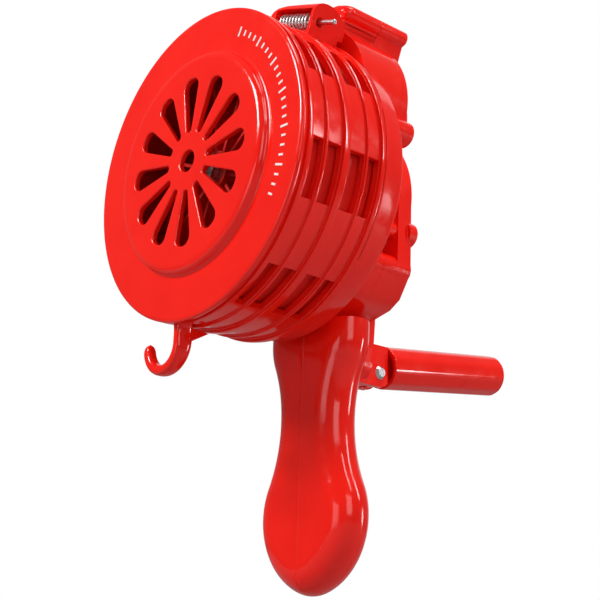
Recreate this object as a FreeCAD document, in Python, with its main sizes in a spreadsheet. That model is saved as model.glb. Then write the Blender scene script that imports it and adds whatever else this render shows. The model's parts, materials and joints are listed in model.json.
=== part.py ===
import FreeCAD, Part
import Sketcher
import math
import os

from FreeCAD import Vector, Rotation, Placement

os.makedirs("parts", exist_ok=True)
doc = FreeCAD.newDocument("hand_siren")

# driving dimensions, millimetres and degrees
DIMENSIONS = [
    ("drumRadius", 75.0),
    ("coverThick", 2.6),
    ("raisedRadius", 53.0),
    ("raisedHeight", 4.0),
    ("slotCount", 12),
    ("slotOuterReach", 41.0),
    ("slotOuterRadius", 5.6),
    ("slotInnerReach", 14.5),
    ("slotInnerRadius", 1.5),
    ("eyeRadius", 5.25),
    ("boreRadius", 70.2),
    ("coreRadius", 73.4),
    ("drumRear", 50.6),
    ("windowArc", 21.0),
    ("ringRear", 65.0),
    ("ringRearRadius", 71.0),
    ("shellFront", 65.0),
    ("shellRear", 81.5),
    ("lobeRadius", 44.0),
    ("lidRear", 100.0),
    ("wall", 3.0),
    ("gearModule", 1.25),
    ("crankTeeth", 60),
    ("pinionTeeth", 12),
    ("idlerTeeth", 54),
    ("rotorTeeth", 18),
    ("idlerAngle", 70.0),
    ("rotorRadius", 69.2),
    ("rotorFront", 8.0),
    ("rotorRear", 44.0),
    ("rotorSkirt", 47.4),
    ("bladeCount", 12),
    ("shaftRadius", 4.0),
    ("bearingOuter", 8.0),
    ("bearingWidth", 5.0),
    ("crankShaftRadius", 6.0),
    ("crankLength", 79.5),
    ("armFront", 103.0),
    ("armThick", 5.5),
    ("hubThick", 8.0),
    ("armHubRadius", 15.0),
    ("armEndRadius", 10.6),
    ("rivetY", 118.0),
    ("rivetRadius", 2.2),
    ("gripLean", 7.0),
    ("gripOffset", 3.7),
    ("gripRadius", 10.6),
    ("gripLength", 88.0),
    ("spindleRadius", 4.5),
    ("handleY", 82.5),
    ("handleDepth", 23.0),
    ("lugAngle", 71.0),
    ("pinReach", 80.5),
    ("pinY", 37.8),
    ("pinRadius", 1.3),
    ("springRadius", 4.3),
    ("springWire", 1.0),
    ("springPitch", 2.5),
    ("hookFront", 4.5),
    ("hookDepth", 9.3),
    ("running", 0.05),
    ("gripY", 82.5),
    ("gripZ", -120.0),
]

sheet = doc.addObject("Spreadsheet::Sheet", "Dims")
D = {}
for row, (alias, value) in enumerate(DIMENSIONS, start=1):
    sheet.set("A%d" % row, alias)
    sheet.set("B%d" % row, str(value))
    sheet.setAlias("B%d" % row, alias)
    D[alias] = value
doc.recompute()

finished = {}
counter = [0]


def fresh(stem):
    counter[0] += 1
    return "%s_%d" % (stem, counter[0])


def bind(obj, prop, formula):
    """Tie one property to the sheet when the formula is text, else set it."""
    if isinstance(formula, str):
        obj.setExpression(prop, formula)
    else:
        obj.setExpression(prop, None)
        parts = prop.split(".")
        if len(parts) == 1:
            setattr(obj, prop, formula)
    return obj


def dim(name):
    return "Dims." + name


# cylinder with its axis along +Y, +X or +Z
TURNS = {
    "x": Rotation(Vector(0, 1, 0), 90),
    "y": Rotation(Vector(1, 0, 0), -90),
    "z": Rotation(),
}


def rod(radius, length, base, axis="y"):
    """A cylinder starting at base and running along the axis."""
    obj = doc.addObject("Part::Cylinder", fresh("rod"))
    bind(obj, "Radius", radius)
    bind(obj, "Height", length)
    obj.Placement = Placement(Vector(*base), TURNS[axis])
    return obj


def cone(radius1, radius2, length, base, axis="y"):
    obj = doc.addObject("Part::Cone", fresh("cone"))
    bind(obj, "Radius1", radius1)
    bind(obj, "Radius2", radius2)
    bind(obj, "Height", length)
    obj.Placement = Placement(Vector(*base), TURNS[axis])
    return obj


def block(size, corner, turn=None):
    """A box; turn is a rotation about the corner."""
    obj = doc.addObject("Part::Box", fresh("block"))
    for prop, value in zip(("Length", "Width", "Height"), size):
        bind(obj, prop, value)
    obj.Placement = Placement(Vector(*corner), turn or Rotation())
    return obj


def join(*objs):
    obj = doc.addObject("Part::MultiFuse", fresh("join"))
    obj.Shapes = list(objs)
    obj.Refine = True
    return obj


def cut(base, *tools):
    tool = tools[0] if len(tools) == 1 else join(*tools)
    obj = doc.addObject("Part::Cut", fresh("cut"))
    obj.Base = base
    obj.Tool = tool
    obj.Refine = True
    return obj


def overlap(first, second):
    obj = doc.addObject("Part::MultiCommon", fresh("overlap"))
    obj.Shapes = [first, second]
    return obj


def hexagon(flats, length, base, axis="y"):
    obj = doc.addObject("Part::Prism", fresh("hexagon"))
    obj.Polygon = 6
    obj.Circumradius = flats / math.sqrt(3)
    obj.Height = length
    obj.Placement = Placement(Vector(*base), TURNS[axis])
    return obj


def profile(points, name=None):
    """A closed sketch of straight lines; points are (u, v) in the sketch plane."""
    sketch = doc.addObject("Sketcher::SketchObject", name or fresh("profile"))
    count = len(points)
    for index in range(count):
        start = Vector(points[index][0], points[index][1], 0)
        end = Vector(*points[(index + 1) % count], 0)
        sketch.addGeometry(Part.LineSegment(start, end), False)
    for index in range(count):
        sketch.addConstraint(Sketcher.Constraint("Coincident", index, 2, (index + 1) % count, 1))
    return sketch


def turned(points, axis="y"):
    """Revolve (radius, height) points round the object's Y axis."""
    sketch = profile(points)
    obj = doc.addObject("Part::Revolution", fresh("turned"))
    obj.Source = sketch
    obj.Axis = Vector(0, 1, 0)
    obj.Base = Vector(0, 0, 0)
    obj.Angle = 360
    obj.Solid = True
    return obj


def plate(points, y_start, thickness):
    """Extrude a closed outline in X and Z along +Y."""
    sketch = profile(points)
    sketch.Placement = Placement(Vector(0, y_start, 0), Rotation(Vector(1, 0, 0), 90))
    obj = doc.addObject("Part::Extrusion", fresh("plate"))
    obj.Base = sketch
    obj.Dir = Vector(0, 1, 0)
    bind(obj, "LengthFwd", thickness)
    obj.Solid = True
    return obj



def around(obj, count, start=0.0, step=None):
    """Copies of one object turned about the Y axis."""
    made = []
    step = 360.0 / count if step is None else step
    for index in range(count):
        link = doc.addObject("Part::Compound", fresh("copy"))
        link.Links = [obj]
        link.Placement = Placement(Vector(), Rotation(Vector(0, 1, 0), -(start + index * step)))
        made.append(link)
    return made


def turn_y(obj, angle):
    """One copy turned about Y so that +X goes to the angle seen from the front."""
    return around(obj, 1, start=angle)[0]


def at_angle(radius, angle):
    return radius * math.cos(math.radians(angle)), radius * math.sin(math.radians(angle))


def finish(label, obj):
    """Name a finished piece; its own body is one solid."""
    obj.Label = label
    finished[label] = obj
    return obj


def rounded(obj, radius, chooser):
    """Fillet the edges that the chooser accepts."""
    doc.recompute()
    fillet = doc.addObject("Part::Fillet", fresh("rounded"))
    fillet.Base = obj
    edges = []
    for number, edge in enumerate(obj.Shape.Edges, start=1):
        if chooser(edge):
            edges.append((number, radius, radius))
    fillet.Edges = edges
    return fillet


# teeth by the involute of the base circle
def tooth_outline(teeth, module, backlash, phase):
    pitch_radius = module * teeth / 2.0
    base_radius = pitch_radius * math.cos(math.radians(20))
    tip_radius = pitch_radius + module * 0.95
    root_radius = pitch_radius - module * 1.2
    low = max(base_radius, root_radius + 0.05)

    def involute(radius):
        ratio = max(radius / base_radius, 1.0)
        roll = math.sqrt(ratio * ratio - 1.0)
        return roll - math.atan(roll)

    half_pitch_angle = math.pi / (2 * teeth) - backlash / (2 * pitch_radius)
    flank = []
    for step in range(4):
        radius = low + (tip_radius - low) * step / 3.0
        flank.append((radius, half_pitch_angle + involute(pitch_radius) - involute(radius)))
    points = []
    for tooth in range(teeth):
        middle = math.radians(phase) + 2 * math.pi * tooth / teeth
        side = [(root_radius, flank[0][1])] + flank
        for radius, angle in side:
            points.append((radius * math.cos(middle - angle), radius * math.sin(middle - angle)))
        for radius, angle in reversed(side):
            points.append((radius * math.cos(middle + angle), radius * math.sin(middle + angle)))
    return points


def toothed(teeth, phase, centre, y_start, width):
    """A toothed disc: the outline is a wire of straight facets."""
    outline = tooth_outline(teeth, D["gearModule"], 0.16, phase)
    corners = [Vector(centre[0] + x, y_start, centre[1] + z) for x, z in outline]
    wire = doc.addObject("Part::Feature", fresh("teeth"))
    wire.Shape = Part.Face(Part.makePolygon(corners + [corners[0]]))
    obj = doc.addObject("Part::Extrusion", fresh("toothed"))
    obj.Base = wire
    obj.Dir = Vector(0, 1, 0)
    bind(obj, "LengthFwd", width)
    obj.Solid = True
    return obj


# front cover: a flat rim, a raised middle and twelve tear-shaped sound slots
def make_front_cover():
    rim = D["drumRadius"]
    back = D["coverThick"]
    raised = D["raisedRadius"]
    face = -D["raisedHeight"]
    spigot = D["boreRadius"] - 0.2
    outline = [
        (0, face), (raised - 1.4, face), (raised - 0.3, face + 0.6), (raised + 1.4, 0),
        (rim - 0.8, 0), (rim, 0.8), (rim, back), (spigot, back), (spigot, 6.5),
        (spigot - 2.2, 6.5), (spigot - 2.2, back), (raised - 0.6, back),
        (raised - 2.6, face + 2.6), (0, face + 2.6),
    ]
    shell = turned(outline)
    depth = 12
    near = D["slotInnerReach"] + D["slotInnerRadius"]
    far = D["slotOuterReach"] - D["slotOuterRadius"]
    small = D["slotInnerRadius"]
    large = D["slotOuterRadius"]
    lean = math.asin((large - small) / (far - near))
    wedge = plate([
        (near - small * math.sin(lean), -small * math.cos(lean)),
        (far - large * math.sin(lean), -large * math.cos(lean)),
        (far - large * math.sin(lean), large * math.cos(lean)),
        (near - small * math.sin(lean), small * math.cos(lean)),
    ], -6, depth)
    inner_end = rod("Dims.slotInnerRadius", depth, (near, -6, 0))
    outer_end = rod("Dims.slotOuterRadius", depth, (far, -6, 0))
    slot = join(wedge, inner_end, outer_end)
    eye = rod("Dims.eyeRadius", depth, (0, -6, 0))
    finish("front_cover", cut(shell, eye, *around(slot, D["slotCount"])))


# stator drum: ribs, four rows of windows, the brake lug and the web that the rotor turns behind
WINDOW_MIDDLES = (33.5, -14.5, -60.5, 213.5, 165.5, 119.5)
WINDOW_ROWS = ((8.4, 14.2), (16.6, 24.7), (29.6, 38.7), (41.0, 47.6))
RIBS = ((14.6, 16.2, 74.6), (25.1, 29.0, 75.0), (39.1, 40.4, 74.6))



# the lug in its own frame: X along the pin, Z outwards
LUG_ACROSS = ((-17, 68), (-16.4, 80.0), (-15.6, 83.2), (-14.1, 85.3), (-12, 86.8), (-9, 87.8), (-5, 88.6),
              (0, 89.2), (6, 89.7), (12, 90.0), (17, 90.1), (17, 68))
LUG_ALONG = ((32.4, 68), (32.4, 84.5), (32.9, 86.5), (34.2, 88.3), (36.5, 89.6), (39.5, 90.1), (43.0, 89.9),
             (46.0, 89.1), (48.8, 87.6), (51.2, 85.3), (52.8, 82.6), (53.6, 79.6), (53.6, 76.4), (52.8, 75.8),
             (50.6, 75.8), (50.6, 68))
LUG_ROOM = ((-11.7, 75.0), (15.2, 75.0), (15.2, 86.2), (-4.0, 86.2), (-9.0, 86.0), (-11.7, 85.4))


def side_plate(points, x_start, thickness):
    """Extrude a closed outline in Y and Z along +X."""
    sketch = profile(points)
    sketch.Placement = Placement(Vector(x_start, 0, 0), Rotation(Vector(1, 1, 1), 120))
    obj = doc.addObject("Part::Extrusion", fresh("side_plate"))
    obj.Base = sketch
    obj.Dir = Vector(1, 0, 0)
    bind(obj, "LengthFwd", thickness)
    obj.Solid = True
    return obj


def make_lug():
    body = overlap(plate(list(LUG_ACROSS), 32.0, 24.0), side_plate(list(LUG_ALONG), -20.0, 40.0))
    middle = D["pinY"]
    reach = D["pinReach"]
    cavity = plate(list(LUG_ROOM), 30.8, 12.4)
    guide = rod("Dims.pinRadius + Dims.running", 40, (-20, middle, reach), "x")
    mouth = cone(1.35, 2.6, 1.8, (15.3, middle, reach), "x")
    return cut(body, cavity, guide, mouth)


def finger_slot():
    """The way through the drum wall for the brake finger."""
    return turn_y(block((7.6, 2.8, 24.0), (7.55, D["pinY"] - 1.4, 56.0)), D["lugAngle"] - 90.0)


def make_drum():
    bore = D["boreRadius"]
    core = D["coreRadius"]
    rear = D["drumRear"]
    rim = D["drumRadius"]
    outline = [(bore, 2.7), (73.2, 2.7), (73.2, 4.4), (rim - 0.5, 4.4), (rim, 4.9), (rim, 7.0), (core, 7.4)]
    for start, end, radius in RIBS:
        outline += [(core, start), (radius - 0.4, start), (radius, start + 0.4)]
        outline += [(radius, end - 0.4), (radius - 0.4, end), (core, end)]
    outline += [(core, 48.0), (rim - 0.5, 48.0), (rim, 48.5), (rim, rear), (57.0, rear)]
    outline += [(57.0, rear - 2.5), (bore, rear - 2.5)]
    ring = turned(outline)
    cutters = []
    for start, end in WINDOW_ROWS:
        sector = doc.addObject("Part::Cylinder", fresh("sector"))
        sector.Radius = core + 2.2
        sector.Height = end - start
        bind(sector, "Angle", "Dims.windowArc")
        sector.Placement = Placement(Vector(0, start, 0), Rotation(Vector(1, 0, 0), -90))
        cutters.append(sector)
    hub = rod(bore - 4.0, 60, (0, 0, 0))
    row = cut(join(*cutters), hub)
    half = D["windowArc"] / 2.0
    # the sector runs clockwise from +X, so its middle sits half an arc below
    windows = [turn_y(row, middle + half) for middle in WINDOW_MIDDLES]
    lug = turn_y(make_lug(), D["lugAngle"] - 90.0)
    inner = rod("Dims.boreRadius + 1.2", 60, (0, 0, 0))
    drum = join(cut(ring, *windows), cut(lug, inner))
    screw_holes = around(rod(1.55, 4, (61.5, rear - 3.0, 0)), 6, start=15.0)
    finish("stator_drum", cut(drum, finger_slot(), *screw_holes))


# hook: one moulded J, its foot held in the groove behind the front flange
def upright(points, z_start, height):
    """Extrude a closed outline in X and Y along +Z."""
    sketch = profile(points)
    sketch.Placement = Placement(Vector(0, 0, z_start), Rotation())
    obj = doc.addObject("Part::Extrusion", fresh("upright"))
    obj.Base = sketch
    obj.Dir = Vector(0, 0, 1)
    bind(obj, "LengthFwd", height)
    obj.Solid = True
    return obj


def make_hook():
    front = D["hookFront"]
    depth = D["hookDepth"]
    centre = (-23.8, -82.0)
    ring = cut(rod(13.8, "Dims.hookDepth", (centre[0], front, centre[1])),
               rod(8.8, depth + 2, (centre[0], front - 1, centre[1])))
    lower = overlap(ring, block((40, 30, 20), (-44, front - 5, centre[1] - 20)))
    shank = plate([(-15.0, -82.1), (-10.0, -82.1), (-9.7, -78.5), (-8.4, -75.6), (-5.6, -73.6), (-5.6, -68.6),
                   (-17.0, -68.6), (-15.6, -73.6), (-15.1, -77.5)], front, "Dims.hookDepth")
    tip = rod(2.5, "Dims.hookDepth", (centre[0] - 11.3, front, centre[1]))
    taper = upright([(-10.5, 13.85), (-12.5, 13.8), (-40.0, 8.9), (-40.0, 16.0), (-10.5, 16.0)], -100.0, 24.0)
    gusset = side_plate([(13.0, -73.6), (22.6, -75.2), (13.0, -81.5)], -14.6, 4.2)
    body = join(cut(join(lower, shank, tip), taper), gusset)
    finish("hanging_hook", cut(body, rod(73.45, 40, (0, -5, 0)), rod(75.3, 12.4, (0, -5, 0)),
                               rod(75.3, 20, (0, 14.3, 0))))


# outlines of the gear case in X and Z
IDLER = at_angle(45.0, D["idlerAngle"])
# screw posts: X, Z, radius, where the post ends at the rear
POST_UPPER = ((53.0, 24.5, 6.3, 85.0), (-24.8, 52.8, 6.3, 85.0))
POST_MIDDLE = ((39.0, -19.0, 4.2, 100.0), (-39.0, -19.0, 4.2, 100.0))
POST_LOWER = ((38.0, -37.5, 6.0, 100.0), (-38.0, -37.5, 6.0, 100.0))
POSTS = POST_UPPER + POST_MIDDLE + POST_LOWER
SKIRT_LOW = ((43.7, -39.2), (36.8, -51.1), (30.3, -55.4), (19.3, -58.3), (8.0, -62.0),
             (-8.0, -62.0), (-19.3, -58.3), (-30.3, -55.4), (-36.8, -51.1), (-43.7, -39.2))
SKIRT_HOLLOW = ((40.2, -42.2), (34.4, -48.9), (28.6, -52.6), (18.6, -55.4), (7.6, -59.0),
                (-7.6, -59.0), (-18.6, -55.4), (-28.6, -52.6), (-34.4, -48.9), (-40.2, -42.2),
                (-14.0, -42.2), (-12.0, -30.0), (12.0, -30.0), (14.0, -42.2))


def frame_point(along, out):
    """A point given along and outwards of the lug direction."""
    angle = math.radians(D["idlerAngle"])
    return (out * math.cos(angle) + along * math.sin(angle), out * math.sin(angle) - along * math.cos(angle))


def case_solid(start, end, lobe_radius):
    """The gear case outline as one solid."""
    length = end - start
    main = rod("Dims.lobeRadius", length, (0, start, 0))
    lobe = rod(lobe_radius, length, (IDLER[0], start, IDLER[1]))
    return join(main, lobe, plate(list(SKIRT_LOW), start, length))


def case_hollow(start, end, lobe_radius):
    """The room inside the gear case, one wall smaller than its outline."""
    length = end - start
    main = rod("Dims.lobeRadius - Dims.wall", length, (0, start, 0))
    lobe = rod(lobe_radius - D["wall"], length, (IDLER[0], start, IDLER[1]))
    return join(main, lobe, plate(list(SKIRT_HOLLOW), start, length))


RIDGE_HALF = ((5.5, 60), (5.5, 90.2), (6.6, 91.0), (7.6, 92.0), (8.0, 93.2), (8.0, 94.8), (7.4, 96.3),
              (6.2, 97.5), (4.4, 98.2), (2.0, 98.5))
RIDGE_FRONT = ((55.6, 76.0), (55.6, 84.8), (55.9, 86.5), (56.8, 88.2), (58.0, 90.0), (58.7, 92.0), (59.0, 94.2),
               (59.4, 96.2), (60.4, 97.6), (62.0, 98.4))


def ridge_solid(start, end):
    outline = list(RIDGE_HALF) + [(-along, out) for along, out in reversed(RIDGE_HALF)]
    return plate([frame_point(along, out) for along, out in outline], start, end - start)


def fronted_ridge(end):
    """The front of the ridge runs down in an S to the front of the lobe."""
    side = side_plate(list(RIDGE_FRONT) + [(end, 99.0), (end, 76.0)], -12.0, 24.0)
    return overlap(ridge_solid(55.0, end), turn_y(side, D["idlerAngle"] - 90.0))


def make_gear_housing():
    front = D["drumRear"] + 0.1
    rear = D["ringRear"]
    wall = D["wall"]
    shell_rear = D["shellRear"]
    outer = D["ringRearRadius"]
    side = turned([(74.6, front), (74.6, front + 1.2), (73.2, front + 1.6), (outer + 0.6, rear - 0.8), (outer, rear),
                   (6.6, rear), (6.6, rear - wall), (outer - 3.4, rear - wall), (outer - 1.6, front + 2.6),
                   (56.0, front + 2.6), (56.0, front)])
    tower = rod("Dims.bearingOuter + 3", 17.0, (0, 48.0, 0))
    case = cut(case_solid(rear - 0.5, shell_rear, 39.5), case_hollow(rear, shell_rear + 1, 39.5))
    lens = cut(rod(39.5, rear - 55.7, (IDLER[0], 55.5, IDLER[1])), rod(70.6, 30, (0, 45, 0)))
    lens_hollow = cut(rod(36.5, rear + 0.2 - 58.5, (IDLER[0], 58.5, IDLER[1])), rod(73.3, 30, (0, 45, 0)))
    rooms = join(rod(40.3, 40, (0, rear - 0.2, 0)), rod(36.2, 40, (IDLER[0], rear - 0.2, IDLER[1])))
    posts = [rod(r, shell_rear - rear + 0.4, (x, rear - 0.4, z)) for x, z, r, end in POST_UPPER + POST_LOWER]
    posts = [cut(join(*posts), rooms)]
    posts += [rod(r, shell_rear - rear + 0.4, (x, rear - 0.4, z)) for x, z, r, end in POST_MIDDLE]
    ridge = cut(fronted_ridge(shell_rear), rod(38.6, 60, (IDLER[0], 48.0, IDLER[1])))
    idler_boss = rod(7.0, 2.4, (IDLER[0], rear - 0.5, IDLER[1]))
    tenon = join(block((18.0, 12.0, 41.6), (-9.0, 76.5, -104.0)), block((18.0, 9.0, 8.9), (-9.0, 72.5, -65.9)))
    tenon = cut(tenon, case_hollow(rear, shell_rear + 1, 39.5))
    body = join(side, tower, case, lens, ridge, idler_boss, tenon, *posts)
    seats = [
        lens_hollow,
        rod("Dims.bearingOuter + Dims.running", "Dims.bearingWidth + 0.6", (0, 47.9, 0)),
        rod("Dims.bearingOuter + Dims.running", "Dims.bearingWidth + 0.6", (0, rear - 5.5, 0)),
        rod(6.6, 25, (0, 45, 0)),
        rod(3.02, 6.0, (IDLER[0], rear - 3.5, IDLER[1])),
    ]
    seats += [rod(1.6, 13, (x, shell_rear - 12.5, z)) for x, z, r, end in POSTS]
    seats += around(rod(1.2, 6, (61.5, front - 1, 0)), 6, start=15.0)
    seats += [rod(1.6, 30, (-15, 82.5, z), "x") for z in (-70.0, -95.0)]
    finish("gear_housing", cut(body, *seats))


def make_rear_cover():
    start = D["shellRear"] + 0.1
    rear = D["lidRear"]
    wall = D["wall"]
    outside = join(case_solid(start, rear, 25.0), case_solid(start, 85.0, 39.5))
    strip = plate([(43.7, 0.0), (43.7, -39.2), (36.8, -51.1), (-36.8, -51.1), (-43.7, -39.2), (-43.7, 0.0)],
                  91.0, rear - 91.0)
    inside = case_hollow(start - 1, rear - wall, 25.0)
    rooms = join(rod(40.3, 30, (0, start - 1, 0)), rod(21.5, 30, (IDLER[0], start - 1, IDLER[1])))
    posts = [rod(r, end - start, (x, start, z)) for x, z, r, end in POSTS if end < 90 or z < -30]
    posts = [cut(join(*posts), overlap(rooms, rod(200, 97.0 - start + 1, (0, start - 1, 0))))]
    posts += [rod(r, end - start, (x, start, z)) for x, z, r, end in POST_MIDDLE]
    posts += [rod(6.3, 102.6 - 97.5, (x * 39.5 / 39.0, 97.5, z)) for x, z, r, end in POST_MIDDLE]
    ridge = cut(ridge_solid(start, rear), rod(24.0, 40, (IDLER[0], 80.0, IDLER[1])))
    centre_boss = rod(13.0, rear + 1.4 - 90.5, (0, 90.5, 0))
    idler_boss = rod(7.0, rear - 92.4, (IDLER[0], 92.4, IDLER[1]))
    body = join(cut(join(outside, strip), inside), ridge, centre_boss, idler_boss, *posts)
    holes = [
        rod(9.05, 30, (0, 80, 0)),
        rod(3.02, 5.2, (IDLER[0], 92.0, IDLER[1])),
    ]
    holes += [rod(1.8, 30, (x, 78, z)) for x, z, r, end in POSTS]
    holes += [rod(3.4, 4.0, (x, cover_face(x, z) - 2.6, z)) for x, z, r, end in POSTS]
    finish("rear_cover", cut(body, *holes))


def cover_face(x, z):
    """Where the rear face lies round each cover screw."""
    if z > 0:
        return 85.0
    return 102.6 if z > -30 else D["lidRear"]


# handle: two moulded halves that close round the tenon of the gear housing
# its edge is a chain of tangent arcs: shoulder, neck, bulb and tip
HANDLE_TOP = (29.5, -62.3)
HANDLE_ARCS = (
    # centre x, centre z, radius, end x, end z
    (-0.5, -69.5, 30.0, 26.84, -81.86),
    (86.9, -109.0, 65.9, 27.8, -138.12),
    (-5.4, -154.5, 37.0, 6.35, -189.58),
    (0.0, -170.6, 20.0, 0.05, -190.6),
)


def arc_edge(side, centre, radius, first, last):
    """A circle arc by its ends and its middle point, in the sketch plane."""
    start = math.atan2(first[1] - centre[1], first[0] - centre[0])
    end = math.atan2(last[1] - centre[1], last[0] - centre[0])
    turn = (end - start + math.pi) % (2 * math.pi) - math.pi
    middle = start + turn / 2.0
    mid_point = Vector(side * (centre[0] + radius * math.cos(middle)), centre[1] + radius * math.sin(middle), 0)
    return Part.Arc(Vector(side * first[0], first[1], 0), mid_point, Vector(side * last[0], last[1], 0))


def make_handle_half(side):
    depth = D["handleDepth"]
    start = D["handleY"] - depth / 2.0
    sketch = doc.addObject("Sketcher::SketchObject", fresh("grip_outline"))
    shoulder = (29.5, -69.5)
    last = shoulder
    sketch.addGeometry(Part.LineSegment(Vector(side * HANDLE_TOP[0], HANDLE_TOP[1], 0),
                                        Vector(side * shoulder[0], shoulder[1], 0)), False)
    for cx, cz, radius, ex, ez in HANDLE_ARCS:
        sketch.addGeometry(arc_edge(side, (cx, cz), radius, last, (ex, ez)), False)
        last = (ex, ez)
    sketch.addGeometry(Part.LineSegment(Vector(side * last[0], last[1], 0),
                                        Vector(side * last[0], HANDLE_TOP[1], 0)), False)
    sketch.addGeometry(Part.LineSegment(Vector(side * last[0], HANDLE_TOP[1], 0),
                                        Vector(side * HANDLE_TOP[0], HANDLE_TOP[1], 0)), False)
    sketch.Placement = Placement(Vector(0, start, 0), Rotation(Vector(1, 0, 0), 90))
    solid = doc.addObject("Part::Extrusion", fresh("grip_half"))
    solid.Base = sketch
    solid.Dir = Vector(0, 1, 0)
    bind(solid, "LengthFwd", "Dims.handleDepth")
    solid.Solid = True
    solid = rounded(solid, 7.4, lambda e: e.BoundBox.YLength < 0.01 and min(abs(e.BoundBox.XMin), abs(e.BoundBox.XMax)) > 3.0
                    or e.BoundBox.YLength < 0.01 and e.BoundBox.ZMax < -180.0)
    middle = D["handleY"]
    reach = 9.1
    pocket = block((2 * reach, 12.2, 44.6), (-reach, middle - 6.1, -106.0))
    hollow = rod(19.0, 13.0, (0, middle - 6.5, -153.0))
    root = block((2 * reach, 9.2, 6.0), (-reach, 72.4, -66.0))
    tools = [pocket, root, hollow]
    for z in (-70.0, -95.0):
        tools.append(rod(1.6, 60, (-30, middle, z), "x"))
    tools.append(rod(1.6, 60, (-30, middle, -181.0), "x"))
    for z, seat in ((-70.0, 14.0), (-95.0, 14.0), (-181.0, 11.0)):
        if side < 0:
            tools.append(rod(3.3, 30, (-30 - seat, middle, z), "x"))
    name = "handle_right" if side > 0 else "handle_left"
    finish(name, cut(solid, *tools))


# rotor: a ported drum with radial blades
def make_rotor():
    outer = D["rotorRadius"]
    front = D["rotorFront"]
    rear = D["rotorRear"]
    bore = D["shaftRadius"] + 0.03
    skirt = D["rotorSkirt"]
    body = turned([(bore, 12), (9.5, 12), (9.5, rear - 3), (outer - 2.8, rear - 3), (outer - 2.8, front),
                   (outer, front), (outer, skirt), (outer - 2.8, skirt), (outer - 2.8, rear), (9.5, rear),
                   (9.5, rear + 2.6), (bore, rear + 2.6)])
    blade = block((outer - 2.0 - 9.0, 27.2, 1.6), (9.0, 14.0, -0.8))
    blades = around(blade, D["bladeCount"], start=8.0)
    sector = doc.addObject("Part::Cylinder", fresh("sector"))
    sector.Radius = outer + 2
    sector.Height = 25.5
    sector.Angle = 16
    sector.Placement = Placement(Vector(0, 11.0, 0), Rotation(Vector(1, 0, 0), -90))
    port = cut(sector, rod(outer - 3.6, 60, (0, 0, 0)))
    # at rest the ports stand between the windows, so the drum is shut
    ports = around(port, 6, start=24.5)
    finish("rotor", cut(join(body, *blades), *ports))
    finish("rotor_shaft", cut(join(
        rod("Dims.shaftRadius", 71.2, (0, 5.0, 0)),
        rod(5.6, 0.9, (0, 46.9, 0)),
    ), rod(0.9, 3, (0, 4.0, 0))))
    finish("rotor_nut", cut(hexagon(11.0, 4.6, (0, 7.3, 0)), rod(4.03, 8, (0, 6, 0))))
    finish("bearing_front", make_bearing(48.5))
    finish("bearing_rear", make_bearing(D["ringRear"] - 5.2))


def make_bearing(start):
    width = D["bearingWidth"]
    inner = D["shaftRadius"] + D["running"]
    outer = D["bearingOuter"]
    return turned([(inner, start), (outer, start), (outer, start + width), (outer - 1.2, start + width),
                   (outer - 1.2, start + width - 0.4), (inner + 1.2, start + width - 0.4),
                   (inner + 1.2, start + width), (inner, start + width)])


# gear train: crank wheel, one double wheel, rotor pinion; module 1.25, both centre distances 45 mm
def make_gears():
    angle = D["idlerAngle"]
    half_gap = 180.0 / D["pinionTeeth"]
    crank = toothed(D["crankTeeth"], angle, (0, 0), 79.0, 8.0)
    crank_hub = rod(12.0, 12.6, (0, 76.6, 0))
    bore = rod("Dims.crankShaftRadius + 0.03", 30, (0, 70, 0))
    windows = around(rod(6.0, 20, (23.5, 75, 0)), 6, start=angle)
    pin_hole = rod(1.53, 40, (-20, 77.0 + 1.9, 0), "x")
    crank_body = join(crank, crank_hub)
    finish("crank_gear", cut(crank_body, bore, pin_hole, *windows))
    finish("gear_pin", rod(1.5, 23.0, (-11.5, 78.9, 0), "x"))
    double = join(
        toothed(D["pinionTeeth"], angle + 180.0 + half_gap, IDLER, 75.0, 15.9),
        toothed(D["idlerTeeth"], angle + 180.0, IDLER, 68.6, 6.4),
        rod(9.0, 6.4, (IDLER[0], 68.6, IDLER[1])),
    )
    lighten = []
    for index in range(6):
        spot = at_angle(20.0, index * 60.0)
        lighten.append(rod(6.5, 12, (IDLER[0] + spot[0], 64, IDLER[1] + spot[1])))
    idler_bore = rod("Dims.running + 3", 40, (IDLER[0], 60, IDLER[1]))
    finish("idler_gear", cut(double, idler_bore, *lighten))
    finish("idler_shaft", rod(3.0, 33.4, (IDLER[0], 63.0, IDLER[1])))
    washers = [cut(rod(5.6, 0.8, (IDLER[0], y, IDLER[1])), rod(3.05, 3, (IDLER[0], y - 1, IDLER[1])))
               for y in (67.1, 91.2)]
    finish("idler_washers", collect(washers))
    pinion = toothed(D["rotorTeeth"], angle + 180.0 / D["rotorTeeth"], (0, 0), 67.4, 7.6)
    finish("rotor_pinion", cut(pinion, rod("Dims.shaftRadius + 0.03", 20, (0, 60, 0))))


def collect(objs):
    obj = doc.addObject("Part::Compound", fresh("set"))
    obj.Links = list(objs)
    return obj


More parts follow.
